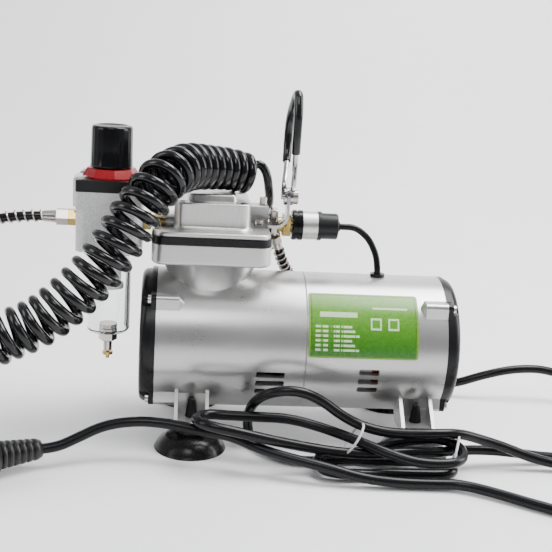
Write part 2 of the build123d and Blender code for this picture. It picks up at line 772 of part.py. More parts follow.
# ---------------------------------------------------------------- filter regulator
with BuildPart() as regulator_body:
    with BuildSketch(Plane.XY.offset(reg_z0)):
        with Locations((reg_x, reg_y)):
            RectangleRounded(reg_width, reg_depth, 6.5)
    extrude(amount=28)
    with BuildSketch(Plane.XY.offset(reg_z0 + 28)):
        with Locations((reg_x, reg_y)):
            RectangleRounded(reg_width, reg_depth, 1.6)
    extrude(amount=reg_z1 - reg_z0 - 28)
    with BuildSketch(Plane.XY.offset(reg_z0)):
        with Locations((reg_x, reg_y)):
            Circle(17.5)
    extrude(amount=-3)
    with BuildSketch(Plane.XY.offset(reg_z0 - 3)):
        with Locations((reg_x, reg_y)):
            Circle(bowl_r + 0.02)
    extrude(amount=14, mode=Mode.SUBTRACT)
    with BuildSketch(Plane.XY.offset(reg_z0)):
        with Locations((reg_x, reg_y)):
            Circle(3.2)
            with GridLocations(33, 31, 2, 2):
                Circle(1.5)
    extrude(amount=reg_z1 - reg_z0, mode=Mode.SUBTRACT)
    with BuildSketch(Plane.XY.offset(reg_z1)):
        with Locations((reg_x, reg_y)):
            Circle(13)
    extrude(amount=-6, mode=Mode.SUBTRACT)
    with BuildSketch(yz(reg_x - reg_width / 2)):
        with Locations((reg_y, port_z)):
            Circle(4.72)
    extrude(amount=9, mode=Mode.SUBTRACT)
    with BuildSketch(yz(reg_x + reg_width / 2)):
        with Locations((reg_y, port_z)):
            Circle(4.72)
    extrude(amount=-9, mode=Mode.SUBTRACT)
    with BuildSketch(Plane.XZ.offset(-reg_y - reg_depth / 2)):
        with Locations((reg_x, port_z)):
            Circle(4.02)
    extrude(amount=7, mode=Mode.SUBTRACT)

with BuildPart() as bonnet_screws:
    with BuildSketch(Plane.XY.offset(bonnet_z1)):
        with Locations((reg_x, reg_y)):
            with GridLocations(33, 31, 2, 2):
                Circle(2.7)
    extrude(amount=1.9)
    with BuildSketch(Plane.XY.offset(bonnet_z1)):
        with Locations((reg_x, reg_y)):
            with GridLocations(33, 31, 2, 2):
                Circle(1.48)
    extrude(amount=-14)
    with BuildSketch(Plane.XY.offset(bonnet_z1 + 1.9)):
        with Locations((reg_x, reg_y)):
            with GridLocations(33, 31, 2, 2):
                Rectangle(3.4, 0.8)
                Rectangle(0.8, 3.4)
    extrude(amount=-1, mode=Mode.SUBTRACT)

bracket_x = reg_x - reg_width / 2 - 0.4
with BuildPart() as wall_bracket:
    # its ring lies in the bonnet's recess, under the collar
    with BuildSketch(Plane.XY.offset(bonnet_z1)):
        with Locations((reg_x, reg_y)):
            Circle(17.2)
        with Locations(((bracket_x - 2 + reg_x) / 2, reg_y)):
            Rectangle(reg_x - bracket_x + 2, 16)
        with Locations((reg_x, reg_y)):
            Circle(9, mode=Mode.SUBTRACT)
    extrude(amount=-2)
    with BuildSketch(Plane.XY.offset(150.6)):
        with Locations((bracket_x - 1, reg_y)):
            Rectangle(2, 16)
    extrude(amount=bonnet_z1 - 150.6)
    fillet(edges().filter_by(Axis.Y).sort_by_distance((bracket_x - 2, reg_y, bonnet_z1))[0], 1.6)
    with BuildSketch(yz(bracket_x)):
        with Locations((reg_y, 158)):
            SlotOverall(10, 4.2)
    extrude(amount=-3, mode=Mode.SUBTRACT)

with BuildPart() as bonnet_plate:
    with BuildSketch(Plane.XY.offset(reg_z1)):
        with Locations((reg_x, reg_y)):
            RectangleRounded(reg_width, reg_depth, 1.6)
            Circle(9, mode=Mode.SUBTRACT)
            with GridLocations(33, 31, 2, 2):
                Circle(1.6, mode=Mode.SUBTRACT)
    extrude(amount=bonnet_z1 - reg_z1)
    add(wall_bracket.part, mode=Mode.SUBTRACT)

with BuildPart() as lock_collar:
    # threaded ring with eight sloping flats
    with BuildSketch(Plane.XY.offset(bonnet_z1)):
        with Locations((reg_x, reg_y)):
            Circle(17.8)
    extrude(amount=1.0)
    with BuildSketch(Plane.XY.offset(bonnet_z1 + 1.0)):
        with Locations((reg_x, reg_y)):
            RegularPolygon(18.2, 8, rotation=10)
    with BuildSketch(Plane.XY.offset(knob_z0 - 0.4)):
        with Locations((reg_x, reg_y)):
            RegularPolygon(15.2, 8, rotation=10)
    loft()
    with BuildSketch(Plane.XY.offset(bonnet_z1)):
        with Locations((reg_x, reg_y)):
            Circle(9)
    extrude(amount=20, mode=Mode.SUBTRACT)

with BuildPart() as regulator_knob:
    with BuildSketch(Plane.XY.offset(knob_z0)):
        with Locations((reg_x, reg_y)):
            Circle(knob_r)
    extrude(amount=knob_z1 - knob_z0)
    fillet(edges().group_by(Axis.Z)[-1], 2.6)
    with BuildSketch(Plane.XY.offset(knob_z0)):
        with Locations((reg_x, reg_y)):
            Circle(knob_r - 2)
    extrude(amount=knob_z1 - knob_z0 - 3.5, mode=Mode.SUBTRACT)
    with BuildSketch(Plane.XY.offset(knob_z0 + 8)):
        with Locations((reg_x, reg_y)):
            Circle(6.4)
            Circle(3.05, mode=Mode.SUBTRACT)
    extrude(amount=knob_z1 - knob_z0 - 11)

with BuildPart() as adjusting_spindle:
    with BuildSketch(Plane.XY.offset(158)):
        with Locations((reg_x, reg_y)):
            Circle(2.95)
    extrude(amount=34)
    with BuildSketch(Plane.XY.offset(158)):
        with Locations((reg_x, reg_y)):
            Circle(8.2)
    extrude(amount=2.5)

with BuildPart() as filter_bowl:
    with BuildSketch(Plane.XY.offset(bowl_z0)):
        with Locations((reg_x, reg_y)):
            Circle(bowl_r)
    extrude(amount=bowl_z1 - bowl_z0)
    fillet(edges().group_by(Axis.Z)[0], 3.0)
    with BuildSketch(Plane.XY.offset(bowl_z0 + 2.4)):
        with Locations((reg_x, reg_y)):
            Circle(bowl_r - 2)
    extrude(amount=bowl_z1 - bowl_z0, mode=Mode.SUBTRACT)
    with BuildSketch(Plane.XY.offset(bowl_z0)):
        with Locations((reg_x, reg_y)):
            Circle(3.1)
    extrude(amount=5, mode=Mode.SUBTRACT)

with BuildPart() as filter_element:
    with BuildSketch(Plane.XY.offset(100)):
        with Locations((reg_x, reg_y)):
            Circle(7.8)
    extrude(amount=35)
    with BuildSketch(Plane.XY.offset(97.5)):
        with Locations((reg_x, reg_y)):
            Circle(9.4)
    extrude(amount=2.5)

drain_foot = 54.6
with BuildPart() as drain_valve:
    # nut under the bowl, flange inside it, and the tube that the pin slides in
    with BuildSketch(Plane.XY.offset(bowl_z0 - 6.6)):
        with Locations((reg_x, reg_y)):
            RegularPolygon(6.0, 6)
    extrude(amount=6.6)
    chamfer(edges().filter_by(Plane.XY).filter_by(GeomType.LINE), 0.5)
    with BuildSketch(Plane.XY.offset(bowl_z0)):
        with Locations((reg_x, reg_y)):
            Circle(3.05)
    extrude(amount=5)
    with BuildSketch(Plane.XY.offset(bowl_z0 + 2.4)):
        with Locations((reg_x, reg_y)):
            Circle(5.8)
    extrude(amount=2.6)
    with BuildSketch(Plane.XY.offset(drain_foot)):
        with Locations((reg_x, reg_y)):
            Circle(2.8)
    extrude(amount=8)
    with BuildSketch(Plane.XY.offset(drain_foot)):
        with Locations((reg_x, reg_y)):
            Circle(1.3)
    extrude(amount=12, mode=Mode.SUBTRACT)

with BuildPart() as drain_pin:
    with BuildSketch(Plane.XY.offset(48.8)):
        with Locations((reg_x, reg_y)):
            Circle(1.2)
    extrude(amount=15)
    with BuildSketch(Plane.XY.offset(51.6)):
        with Locations((reg_x, reg_y)):
            Circle(3.4)
    extrude(amount=1.8)

gauge_y0 = reg_y + reg_depth / 2
with BuildPart() as gauge_case:
    # turned about the gauge's own axis, which points straight back
    with BuildSketch(Plane.XZ.offset(-gauge_y0 + 6)):
        with Locations((reg_x, port_z)):
            Circle(4)
    extrude(amount=-12)
    with BuildSketch(Plane.XZ.offset(-gauge_y0 - 0.4)):
        with Locations((reg_x, port_z)):
            RegularPolygon(6.4, 6)
    extrude(amount=-6)
    with BuildSketch(Plane.XZ.offset(-gauge_y0 - 6)):
        with Locations((reg_x, port_z)):
            Circle(gauge_r)
    extrude(amount=-18)
    fillet(edges().filter_by(GeomType.CIRCLE).group_by(Axis.Y)[-1], 1.6)
    with BuildSketch(Plane.XZ.offset(-gauge_y0 - 8)):
        with Locations((reg_x, port_z)):
            Circle(gauge_r - 2.2)
    extrude(amount=-18, mode=Mode.SUBTRACT)

with BuildPart() as gauge_dial:
    with BuildSketch(Plane.XZ.offset(-gauge_y0 - 17)):
        with Locations((reg_x, port_z)):
            Circle(gauge_r - 2.25)
            Circle(1.0, mode=Mode.SUBTRACT)
    extrude(amount=-0.8)

needle_rest = radians(225)
with BuildPart() as gauge_needle:
    with BuildSketch(Plane.XZ.offset(-gauge_y0 - 18.4)):
        with Locations((reg_x, port_z)):
            Circle(2.2)
        tip = (reg_x - 13.5 * cos(needle_rest), port_z + 13.5 * sin(needle_rest))
        left = (reg_x + 0.9 * sin(needle_rest), port_z + 0.9 * cos(needle_rest))
        right = (reg_x - 0.9 * sin(needle_rest), port_z - 0.9 * cos(needle_rest))
        Polygon(tip, left, right, align=None)
    extrude(amount=-0.7)
    with BuildSketch(Plane.XZ.offset(-gauge_y0 - 12)):
        with Locations((reg_x, port_z)):
            Circle(0.9)
    extrude(amount=-6.6)

with BuildPart() as gauge_lens:
    with BuildSketch(Plane.XZ.offset(-gauge_y0 - 20.6)):
        with Locations((reg_x, port_z)):
            Circle(gauge_r - 2.25)
    extrude(amount=-1.8)

with BuildPart() as port_nipples:
    # left port's adapter for the hose nut, and the nipple between regulator and head
    adapter_x = reg_x - reg_width / 2
    with BuildSketch(yz(adapter_x)):
        with Locations((reg_y, port_z)):
            Circle(4.7)
    extrude(amount=8)
    with BuildSketch(yz(adapter_x)):
        with Locations((reg_y, port_z)):
            RegularPolygon(5.6, 6)
    extrude(amount=-5.4)
    with BuildSketch(yz(adapter_x)):
        with Locations((reg_y, port_z)):
            Circle(4.0)
    extrude(amount=-131.6 - adapter_x)
    nipple_x = reg_x + reg_width / 2
    with BuildSketch(yz(nipple_x - 8)):
        with Locations((reg_y, port_z)):
            Circle(4.7)
    extrude(amount=8)
    with BuildSketch(yz(nipple_x)):
        with Locations((reg_y, port_z)):
            RegularPolygon(6.3, 6)
    extrude(amount=5.2)
    with BuildSketch(yz(nipple_x)):
        with Locations((reg_y, port_z)):
            Circle(nipple_r)
    extrude(amount=cyl_x - block_half + 2 - nipple_x)

# ---------------------------------------------------------------- coil hose
ferrule_end = (-140.5, reg_y, port_z)
with BuildPart() as hose_fittings:
    # nut and ferrule at the regulator, nut and ferrule at the manifold
    with BuildSketch(yz(-131.8)):
        with Locations((reg_y, port_z)):
            RegularPolygon(5.6, 6)
    extrude(amount=7.4)
    with BuildSketch(yz(-131.8)):
        with Locations((reg_y, port_z)):
            Circle(4.02)
    extrude(amount=7.4, mode=Mode.SUBTRACT)
    with BuildSketch(yz(-131.8)):
        with Locations((reg_y, port_z)):
            Circle(4.2)
    with BuildSketch(yz(-140.5)):
        with Locations((reg_y, port_z)):
            Circle(3.5)
    loft()
    with BuildSketch(Plane(origin=branch(5.8), z_dir=branch_dir)):
        RegularPolygon(4.4, 6)
        Circle(2.22, mode=Mode.SUBTRACT)
    extrude(amount=5.6)
    with BuildSketch(Plane(origin=branch(11.4), z_dir=branch_dir)):
        Circle(3.9)
    with BuildSketch(Plane(origin=branch(17), z_dir=branch_dir)):
        Circle(3.3)
    loft()

coil_route = [(-7, 6, 176), (-20, 1, 177.8), (-35, -8, 178.2), (-51, -22, 179.5), (-64.5, -44, 175.5),
              (-77, -55, 159.5), (-88, -62, 141), (-101.5, -67, 121), (-118, -70, 103),
              (-134.8, -73, 89.1), (-156, -77, 80.4), (-180, -80, 69), (-202, -82, 54),
              (-222, -83, 38), (-244, -82, 25), (-268, -78, 18.4), (-292, -70, 16.6),
              (-314, -56, 16.5)]
coil_hose = tube(coil_route, 2 * coil_r, "coil")

# from the regulator's port round to the coil's far end, which lies on the floor
lead_route = [ferrule_end, (-152, -14, 142.2), (-173, -14.3, 138.6), (-203, -15, 133),
              (-238, -17, 126.5), (-273, -21, 119), (-304, -26, 109.5), (-331, -31.5, 97),
              (-347, -34.5, 79), (-352.5, -34, 56), (-346, -37, 34.5), (-332, -44.5, 20.5),
              coil_route[-1]]
hose_lead = tube(lead_route, hose_d, "hose lead")

# from the coil's upper end down behind the cylinder, round and up into the manifold's branch
tail_route = [coil_route[0], (1.5, 11, 171.5), (5.5, 18, 160), (7.5, 28, 149), (5, 41, 138),
              (-4, 48.5, 121), (-13, 56, 101), (-23, 61.5, 78), (-28, 64.5, 56), (-23.5, 66, 37), (-10.5, 66.5, 23.5),
              (7, 66.5, 18.5), (24.5, 66, 23.5), (37, 64.5, 37), (41.5, 62, 56), (38, 56.5, 75),
              (29, 46, 92), tuple(branch(33)), tuple(branch(17))]
hose_tail = tube(tail_route, hose_d, "hose tail")

# ---------------------------------------------------------------- mains lead
gland_end = gland_foot + gland_dir * 15
with BuildPart() as mains_gland:
    with BuildSketch(Plane(origin=gland_foot, x_dir=(1, 0, 0), z_dir=gland_dir)):
        Circle(4.55)
    extrude(amount=4.6)
    with BuildSketch(Plane(origin=gland_foot + gland_dir * 4.6, x_dir=(1, 0, 0),
                           z_dir=gland_dir)):
        Circle(7)
    extrude(amount=2.4)
    with BuildSketch(Plane(origin=gland_foot + gland_dir * 7, x_dir=(1, 0, 0), z_dir=gland_dir)):
        Circle(5.4)
    with BuildSketch(Plane(origin=gland_end, x_dir=(1, 0, 0), z_dir=gland_dir)):
        Circle(4.2)
    loft()

hank_x0 = -40.0
hank_x1 = 127.0
hank_y = -79.0
hank_width = 40.0
with BuildPart() as mains_hank:
    # outer shape of the tied loops, which arch up at the left and lie low at the right
    with BuildSketch(Plane.XZ.offset(-hank_y - hank_width / 2)):
        with BuildLine():
            Spline((hank_x0, 27), (-14, 38), (14, 53), (36, 49), (80, 29), (hank_x1, 22))
            Spline((hank_x1, 22), (116, 6), (80, 3.2), (24, 3.0), (-4, 12), (hank_x0, 27))
        make_face()
    extrude(amount=hank_width)
    # the lower right part lies in front of the foot's cup
    with BuildSketch(Plane.XY):
        with Locations((112, -64)):
            Rectangle(100, 14)
    extrude(amount=60, mode=Mode.SUBTRACT)

rear_route = [tuple(gland_end), tuple(gland_end + gland_dir * 9), (88.5, 66.5, 19),
              (100, 73, 12.5), (116, 74, 9), (136, 70, 7.5), (158, 63, 9.6), (181, 60.5, 19),
              (206, 60, 25), (231, 60, 24.6), (255, 55, 16), (273, 42, 7), (283, 22, 4),
              (285, -2, 3.5), (278, -26, 3.5), (262, -44, 3.5), (238, -54, 3.6), (212, -58, 4),
              (190, -61, 4.8), (171, -63, 8), (152, -63.8, 12), (134, -67, 15), (116, -74, 17)]
mains_lead_rear = tube(rear_route, lead_d, "lead rear")

bight_route = [(110, -79, 23), (125, -74.5, 23), (142, -71.5, 20.5), (159, -70.5, 15),
               (176, -71, 8.5), (198, -73, 4.2), (222, -77, 3.5), (246, -87, 3.5),
               (262, -104, 3.5), (265, -126, 3.5), (253, -145, 3.5), (232, -154, 3.5),
               (208, -153, 3.5), (184, -144, 3.5), (162, -130, 3.6), (140, -114, 4.0),
               (121, -101, 5.0), (104, -91, 6.5)]
mains_bight = tube(bight_route, lead_d, "lead bight")

plug_tip = (-134.5, -84, 13)
front_route = [(-18, -78, 22), (-36, -73.5, 22.5), (-55, -68.5, 25), (-76, -66.5, 25.7),
               (-96, -70.5, 23.8), (-112, -77.5, 17.6), (-124.5, -82.8, 13.2), plug_tip]
mains_lead_front = tube(front_route, lead_d, "lead front")

plug_dir = Vector(-1, -0.5, 0).normalized()


def along_plug(distance):
    """A point on the plug's axis, counted from the tip of its strain relief."""
    return Vector(*plug_tip) + plug_dir * distance


with BuildPart() as mains_plug:
    # ribbed strain relief, moulded body and two round pins
    with BuildSketch(Plane(origin=along_plug(0), z_dir=plug_dir)):
        Circle(5.6)
    with BuildSketch(Plane(origin=along_plug(26), z_dir=plug_dir)):
        Circle(8.8)
    loft()
    with BuildSketch(Plane(origin=along_plug(24), x_dir=(-0.5, 1, 0), z_dir=plug_dir)):
        RectangleRounded(30, 22, 9)
    with BuildSketch(Plane(origin=along_plug(58), x_dir=(-0.5, 1, 0), z_dir=plug_dir)):
        RectangleRounded(37, 25, 8)
    loft()
    with BuildSketch(Plane(origin=along_plug(57), x_dir=(-0.5, 1, 0), z_dir=plug_dir)):
        with GridLocations(19, 1, 2, 1):
            Circle(2.4)
    extrude(amount=20)

pieces = {
    "crankcase_housing": crankcase_housing,
    "motor_housing": motor_housing,
    "left_end_cover": left_end_cover,
    "right_end_cover": right_end_cover,
    "cover_screws": cover_screws,
    "nameplate": nameplate,
    "suction_cups": suction_cups,
    "stator_core": stator_core,
    "stator_windings": stator_windings,
    "shaft_bearings": shaft_bearings,
    "rotor_core": rotor_core,
    "rotor_shaft": rotor_shaft,
    "cooling_fan": cooling_fan,
    "crank_disc": crank_disc,
    "cylinder_sleeve": cylinder_sleeve,
    "connecting_rod": connecting_rod,
    "piston_seal": piston_seal,
    "cylinder_gasket": cylinder_gasket,
    "valve_plate": valve_plate,
    "cylinder_head": cylinder_head,
    "head_screws": head_screws,
    "outlet_block": outlet_block,
    "outlet_manifold": outlet_manifold,
    "fitting_screws": fitting_screws,
    "switch_neck": switch_neck,
    "switch_body": switch_body,
    "switch_band": switch_band,
    "switch_cap": switch_cap,
    "switch_cable": switch_cable,
    "cable_grommet": cable_grommet,
    "holder_bracket": holder_bracket,
    "holder_hook": holder_hook,
    "holder_grip": holder_grip,
    "thumb_screw": thumb_screw,
    "regulator_body": regulator_body,
    "bonnet_plate": bonnet_plate,
    "bonnet_screws": bonnet_screws,
    "wall_bracket": wall_bracket,
    "lock_collar": lock_collar,
    "regulator_knob": regulator_knob,
    "adjusting_spindle": adjusting_spindle,
    "filter_bowl": filter_bowl,
    "filter_element": filter_element,
    "drain_valve": drain_valve,
    "drain_pin": drain_pin,
    "gauge_case": gauge_case,
    "gauge_dial": gauge_dial,
    "gauge_needle": gauge_needle,
    "gauge_lens": gauge_lens,
    "port_nipples": port_nipples,
    "hose_fittings": hose_fittings,
    "coil_hose": coil_hose,
    "hose_lead": hose_lead,
    "hose_tail": hose_tail,
    "mains_gland": mains_gland,
    "mains_hank": mains_hank,
    "mains_lead_rear": mains_lead_rear,
    "mains_bight": mains_bight,
    "mains_lead_front": mains_lead_front,
    "mains_plug": mains_plug,
}
for name, piece in pieces.items():
    piece.part.label = name
    export_step(piece.part, f"parts/{name}.step")
print(len(pieces), "pieces")
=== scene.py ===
"""Looks of the airbrush compressor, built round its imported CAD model. Metres, in the CAD frame."""

import json
import math

import bmesh
import bpy
from mathutils import Matrix, Vector


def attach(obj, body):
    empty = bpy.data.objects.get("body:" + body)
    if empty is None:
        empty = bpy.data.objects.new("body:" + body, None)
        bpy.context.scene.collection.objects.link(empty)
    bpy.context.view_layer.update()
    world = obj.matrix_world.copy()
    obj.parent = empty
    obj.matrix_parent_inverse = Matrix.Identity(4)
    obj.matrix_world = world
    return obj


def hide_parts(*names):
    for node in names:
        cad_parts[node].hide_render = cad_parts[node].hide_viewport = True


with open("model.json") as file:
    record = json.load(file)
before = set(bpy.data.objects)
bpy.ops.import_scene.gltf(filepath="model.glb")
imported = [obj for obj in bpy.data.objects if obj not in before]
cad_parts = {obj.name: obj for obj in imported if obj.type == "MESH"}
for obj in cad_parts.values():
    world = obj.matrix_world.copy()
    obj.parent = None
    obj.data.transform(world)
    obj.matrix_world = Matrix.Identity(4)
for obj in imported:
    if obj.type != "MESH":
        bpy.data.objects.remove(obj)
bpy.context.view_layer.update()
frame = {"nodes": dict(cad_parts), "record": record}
nodes = frame["nodes"]
MM = 0.001
CASING_AXIS_Z = 61.6
REGULATOR_AXIS = (-98, -14)
PORT_Z = 142.2
KNOB_BASE_Z = 175.6
DIAL_Y = 23.95
HOSE_R = 3.0
CORD_R = 3.25


# ---------------------------------------------------------------- camera
def camera():
    yaw, pitch, roll = 0.0995630, 0.2407136, 0.0608586
    forward = Vector((math.sin(yaw) * math.cos(pitch), math.cos(yaw) * math.cos(pitch), -math.sin(pitch)))
    right = Vector((math.cos(yaw), -math.sin(yaw), 0))
    up = right.cross(forward)
    r = math.cos(roll) * right + math.sin(roll) * up
    u = -math.sin(roll) * right + math.cos(roll) * up
    data = bpy.data.cameras.new("camera")
    data.sensor_width = 36
    data.lens = 1074.806 / 552 * 36
    data.clip_start, data.clip_end = 0.05, 30
    cam = bpy.data.objects.new("camera", data)
    turn = Matrix((r, u, -forward)).transposed().to_4x4()
    cam.matrix_world = Matrix.Translation((-0.05769, -0.69643, 0.27678)) @ turn
    bpy.context.scene.collection.objects.link(cam)
    bpy.context.scene.camera = cam


camera()


# ---------------------------------------------------------------- materials
class Nodes:
    """A short way to write a material's node tree."""

    def __init__(self, name):
        self.m = bpy.data.materials.new(name)
        self.m.use_nodes = True
        self.t = self.m.node_tree
        self.t.nodes.clear()
        self.out = self.t.nodes.new("ShaderNodeOutputMaterial")
        self.b = self.t.nodes.new("ShaderNodeBsdfPrincipled")
        self.t.links.new(self.b.outputs[0], self.out.inputs[0])
        self.coords = None

    def set(self, **values):
        for key, value in values.items():
            socket = self.b.inputs[key.replace("_", " ")]
            socket.default_value = (*value, 1) if hasattr(value, "__len__") and len(value) == 3 else value
        return self

    def node(self, kind, inputs=None, **props):
        n = self.t.nodes.new("ShaderNode" + kind)
        for key, value in props.items():
            setattr(n, key, value)
        for key, value in (inputs or {}).items():
            if isinstance(value, bpy.types.NodeSocket):
                self.t.links.new(value, n.inputs[key])
            else:
                n.inputs[key].default_value = value
        return n

    def place(self, scale=(1, 1, 1)):
        if self.coords is None:
            self.coords = self.node("TexCoord").outputs["Object"]
        return self.node("Mapping", {"Vector": self.coords, "Scale": scale}).outputs[0]

    def noise(self, size, detail=3, stretch=(1, 1, 1), rough=0.5):
        """Noise with features of about size metres."""
        return self.node("TexNoise", {"Vector": self.place(stretch), "Scale": 1 / size, "Detail": detail,
                                      "Roughness": rough}).outputs[0]

    def ramp(self, factor, low, high, at=(0.3, 0.7)):
        n = self.node("MapRange", {0: factor, 1: at[0], 2: at[1], 3: low, 4: high})
        return n.outputs[0]

    def mix(self, factor, a, b):
        n = self.t.nodes.new("ShaderNodeMix")
        n.data_type = "RGBA"
        for socket, value in ((n.inputs[0], factor), (n.inputs[6], a), (n.inputs[7], b)):
            if isinstance(value, bpy.types.NodeSocket):
                self.t.links.new(value, socket)
            else:
                socket.default_value = (*value, 1) if hasattr(value, "__len__") and len(value) == 3 else value
        return n.outputs[2]

    def math(self, op, a, b=0.0):
        return self.node("Math", {0: a, 1: b}, operation=op).outputs[0]

    def color(self, socket):
        self.t.links.new(socket, self.b.inputs["Base Color"])

    def rough(self, socket):
        self.t.links.new(socket, self.b.inputs["Roughness"])

    def bump(self, height, depth):
        """Bump of the given depth in metres."""
        n = self.node("Bump", {"Strength": 1.0, "Distance": depth, "Height": height})
        self.t.links.new(n.outputs[0], self.b.inputs["Normal"])


def varied(name, base, rough, metal=0.0, size=0.004, spread=0.12, rough_spread=0.08, grain=None,
           depth=0.00002, stretch=(1, 1, 1), **extra):
    """A surface with uneven colour and sheen and a fine grain."""
    n = Nodes(name).set(Metallic=metal, **extra)
    big = n.noise(size * 6, 4)
    fine = n.noise(grain or size * 0.15, 3, stretch)
    both = n.math("ADD", n.math("MULTIPLY", big, 0.6), n.math("MULTIPLY", fine, 0.4))
    dark = [c * (1 - spread) for c in base]
    light = [min(1, c * (1 + spread)) for c in base]
    n.color(n.mix(n.ramp(both, 0, 1), dark, light))
    n.rough(n.ramp(both, max(0.02, rough - rough_spread), min(1, rough + rough_spread)))
    n.bump(fine, depth)
    return n.m


MAT = {}
MAT["silver_casting"] = varied("silver_casting", (0.50, 0.495, 0.49), 0.30, 0.85, 0.006, 0.05, 0.05, 0.0006,
                               0.000012)
MAT["black_cover"] = varied("black_cover", (0.008, 0.008, 0.009), 0.30, 0, 0.004, 0.3, 0.06, 0.0005, 0.00002,
                            Specular_IOR_Level=0.22)
MAT["zinc_screw"] = varied("zinc_screw", (0.62, 0.62, 0.6), 0.3, 1, 0.003, 0.1)
MAT["black_rubber"] = varied("black_rubber", (0.006, 0.006, 0.006), 0.28, 0, 0.006, 0.4, 0.1, 0.0008, 0.00003,
                             Specular_IOR_Level=0.25)
MAT["lamination"] = varied("lamination", (0.25, 0.25, 0.26), 0.4, 1, 0.004, 0.2, 0.1, 0.0005, 0.0001, (1, 0.02,
                           0.02))
MAT["copper_wire"] = varied("copper_wire", (0.45, 0.16, 0.05), 0.25, 0.6, 0.004, 0.3, 0.1, 0.0008, 0.0003, (1,
                            0.1, 0.1))
MAT["bearing_steel"] = varied("bearing_steel", (0.5, 0.5, 0.5), 0.2, 1)
MAT["black_moulding"] = varied("black_moulding", (0.009, 0.009, 0.010), 0.34, 0, 0.004, 0.3, 0.08, 0.0004,
                               0.00003, Specular_IOR_Level=0.25)
MAT["cast_aluminium"] = varied("cast_aluminium", (0.50, 0.50, 0.50), 0.36, 0.95, 0.005, 0.12, 0.1, 0.0005, 0.00006)
MAT["seal_rubber"] = varied("seal_rubber", (0.012, 0.012, 0.012), 0.6)
MAT["gloss_black"] = varied("gloss_black", (0.005, 0.005, 0.006), 0.14, 0, 0.006, 0.3, 0.05, 0.0006, 0.000008,
                            Specular_IOR_Level=0.2)
MAT["dark_screw"] = varied("dark_screw", (0.16, 0.16, 0.165), 0.32, 1)
MAT["nickel"] = varied("nickel", (0.50, 0.46, 0.43), 0.22, 1, 0.004, 0.12, 0.08, 0.0006, 0.00002)
MAT["brass"] = varied("brass", (0.52, 0.38, 0.13), 0.26, 1, 0.004, 0.15, 0.08, 0.0006, 0.00002)
MAT["black_cable"] = varied("black_cable", (0.005, 0.005, 0.006), 0.24, 0, 0.006, 0.35, 0.06, 0.0007, 0.00001,
                            Specular_IOR_Level=0.2)
MAT["chrome_plate"] = varied("chrome_plate", (0.42, 0.41, 0.42), 0.12, 1, 0.002, 0.45, 0.08, 0.0015, 0.00006)
MAT["black_vinyl"] = varied("black_vinyl", (0.006, 0.006, 0.007), 0.14, 0, 0.006, 0.3, 0.05, 0.001, 0.00002,
                            Specular_IOR_Level=0.4)
MAT["zinc_steel"] = varied("zinc_steel", (0.68, 0.68, 0.68), 0.28, 1)
MAT["red_collar"] = varied("red_collar", (0.26, 0.003, 0.008), 0.28, 0, 0.004, 0.15, 0.06, 0.0006, 0.00001,
                           Specular_IOR_Level=0.3)
MAT["filter_white"] = varied("filter_white", (0.82, 0.82, 0.8), 0.6, 0, 0.003, 0.05, 0.1, 0.0004, 0.00008)
MAT["dial_white"] = varied("dial_white", (0.88, 0.88, 0.87), 0.45, 0, 0.004, 0.02)
MAT["needle_black"] = varied("needle_black", (0.01, 0.01, 0.01), 0.35)
MAT["black_hose"] = varied("black_hose", (0.004, 0.004, 0.005), 0.10, 0, 0.008, 0.3, 0.04, 0.001, 0.000008,
                           Specular_IOR_Level=0.35)
MAT["plug_black"] = varied("plug_black", (0.006, 0.006, 0.006), 0.42, 0, 0.006, 0.3, 0.08, 0.0005, 0.00003)

MAT["tie_white"] = varied("tie_white", (0.55, 0.55, 0.55), 0.35)


def clear(name, tint, rough, ior=1.49):
    n = Nodes(name).set(Transmission_Weight=1.0, IOR=ior, Base_Color=tint)
    n.rough(n.ramp(n.noise(0.01, 4), rough, rough + 0.05))
    n.bump(n.noise(0.006, 3), 0.00001)
    return n.m


MAT["clear_bowl"] = clear("clear_bowl", (0.97, 0.98, 0.98), 0.02)
MAT["clear_lens"] = clear("clear_lens", (0.97, 0.98, 0.98), 0.01)


def brushed(name, base, rough, stretch, metal=1.0):
    """Machined metal with fine lines: stretch is small along the lines."""
    n = Nodes(name).set(Metallic=metal)
    lines = n.noise(0.0005, 2, stretch)
    big = n.noise(0.012, 4)
    both = n.math("ADD", n.math("MULTIPLY", lines, 0.7), n.math("MULTIPLY", big, 0.3))
    n.color(n.mix(n.ramp(both, 0, 1), [c * 0.86 for c in base], [min(1, c * 1.1) for c in base]))
    n.rough(n.ramp(both, rough - 0.06, rough + 0.08))
    n.bump(lines, 0.00003)
    return n.m


MAT["machined_aluminium"] = brushed("machined_aluminium", (0.62, 0.61, 0.60), 0.34, (1, 1, 0.03))


def speckled():
    n = Nodes("speckled_grey").set(Metallic=0.15, Coat_Weight=0.25, Coat_Roughness=0.12)
    cells = n.node("TexVoronoi", {"Vector": n.place(), "Scale": 1100.0}).outputs["Distance"]
    fine = n.noise(0.0004, 3)
    f = n.math("ADD", n.math("MULTIPLY", cells, 0.5), n.math("MULTIPLY", fine, 0.6))
    n.color(n.mix(n.ramp(f, 0, 1), (0.40, 0.40, 0.40), (0.66, 0.66, 0.66)))
    n.rough(n.ramp(fine, 0.26, 0.4))
    n.bump(f, 0.00004)
    return n.m


MAT["speckled_grey"] = speckled()


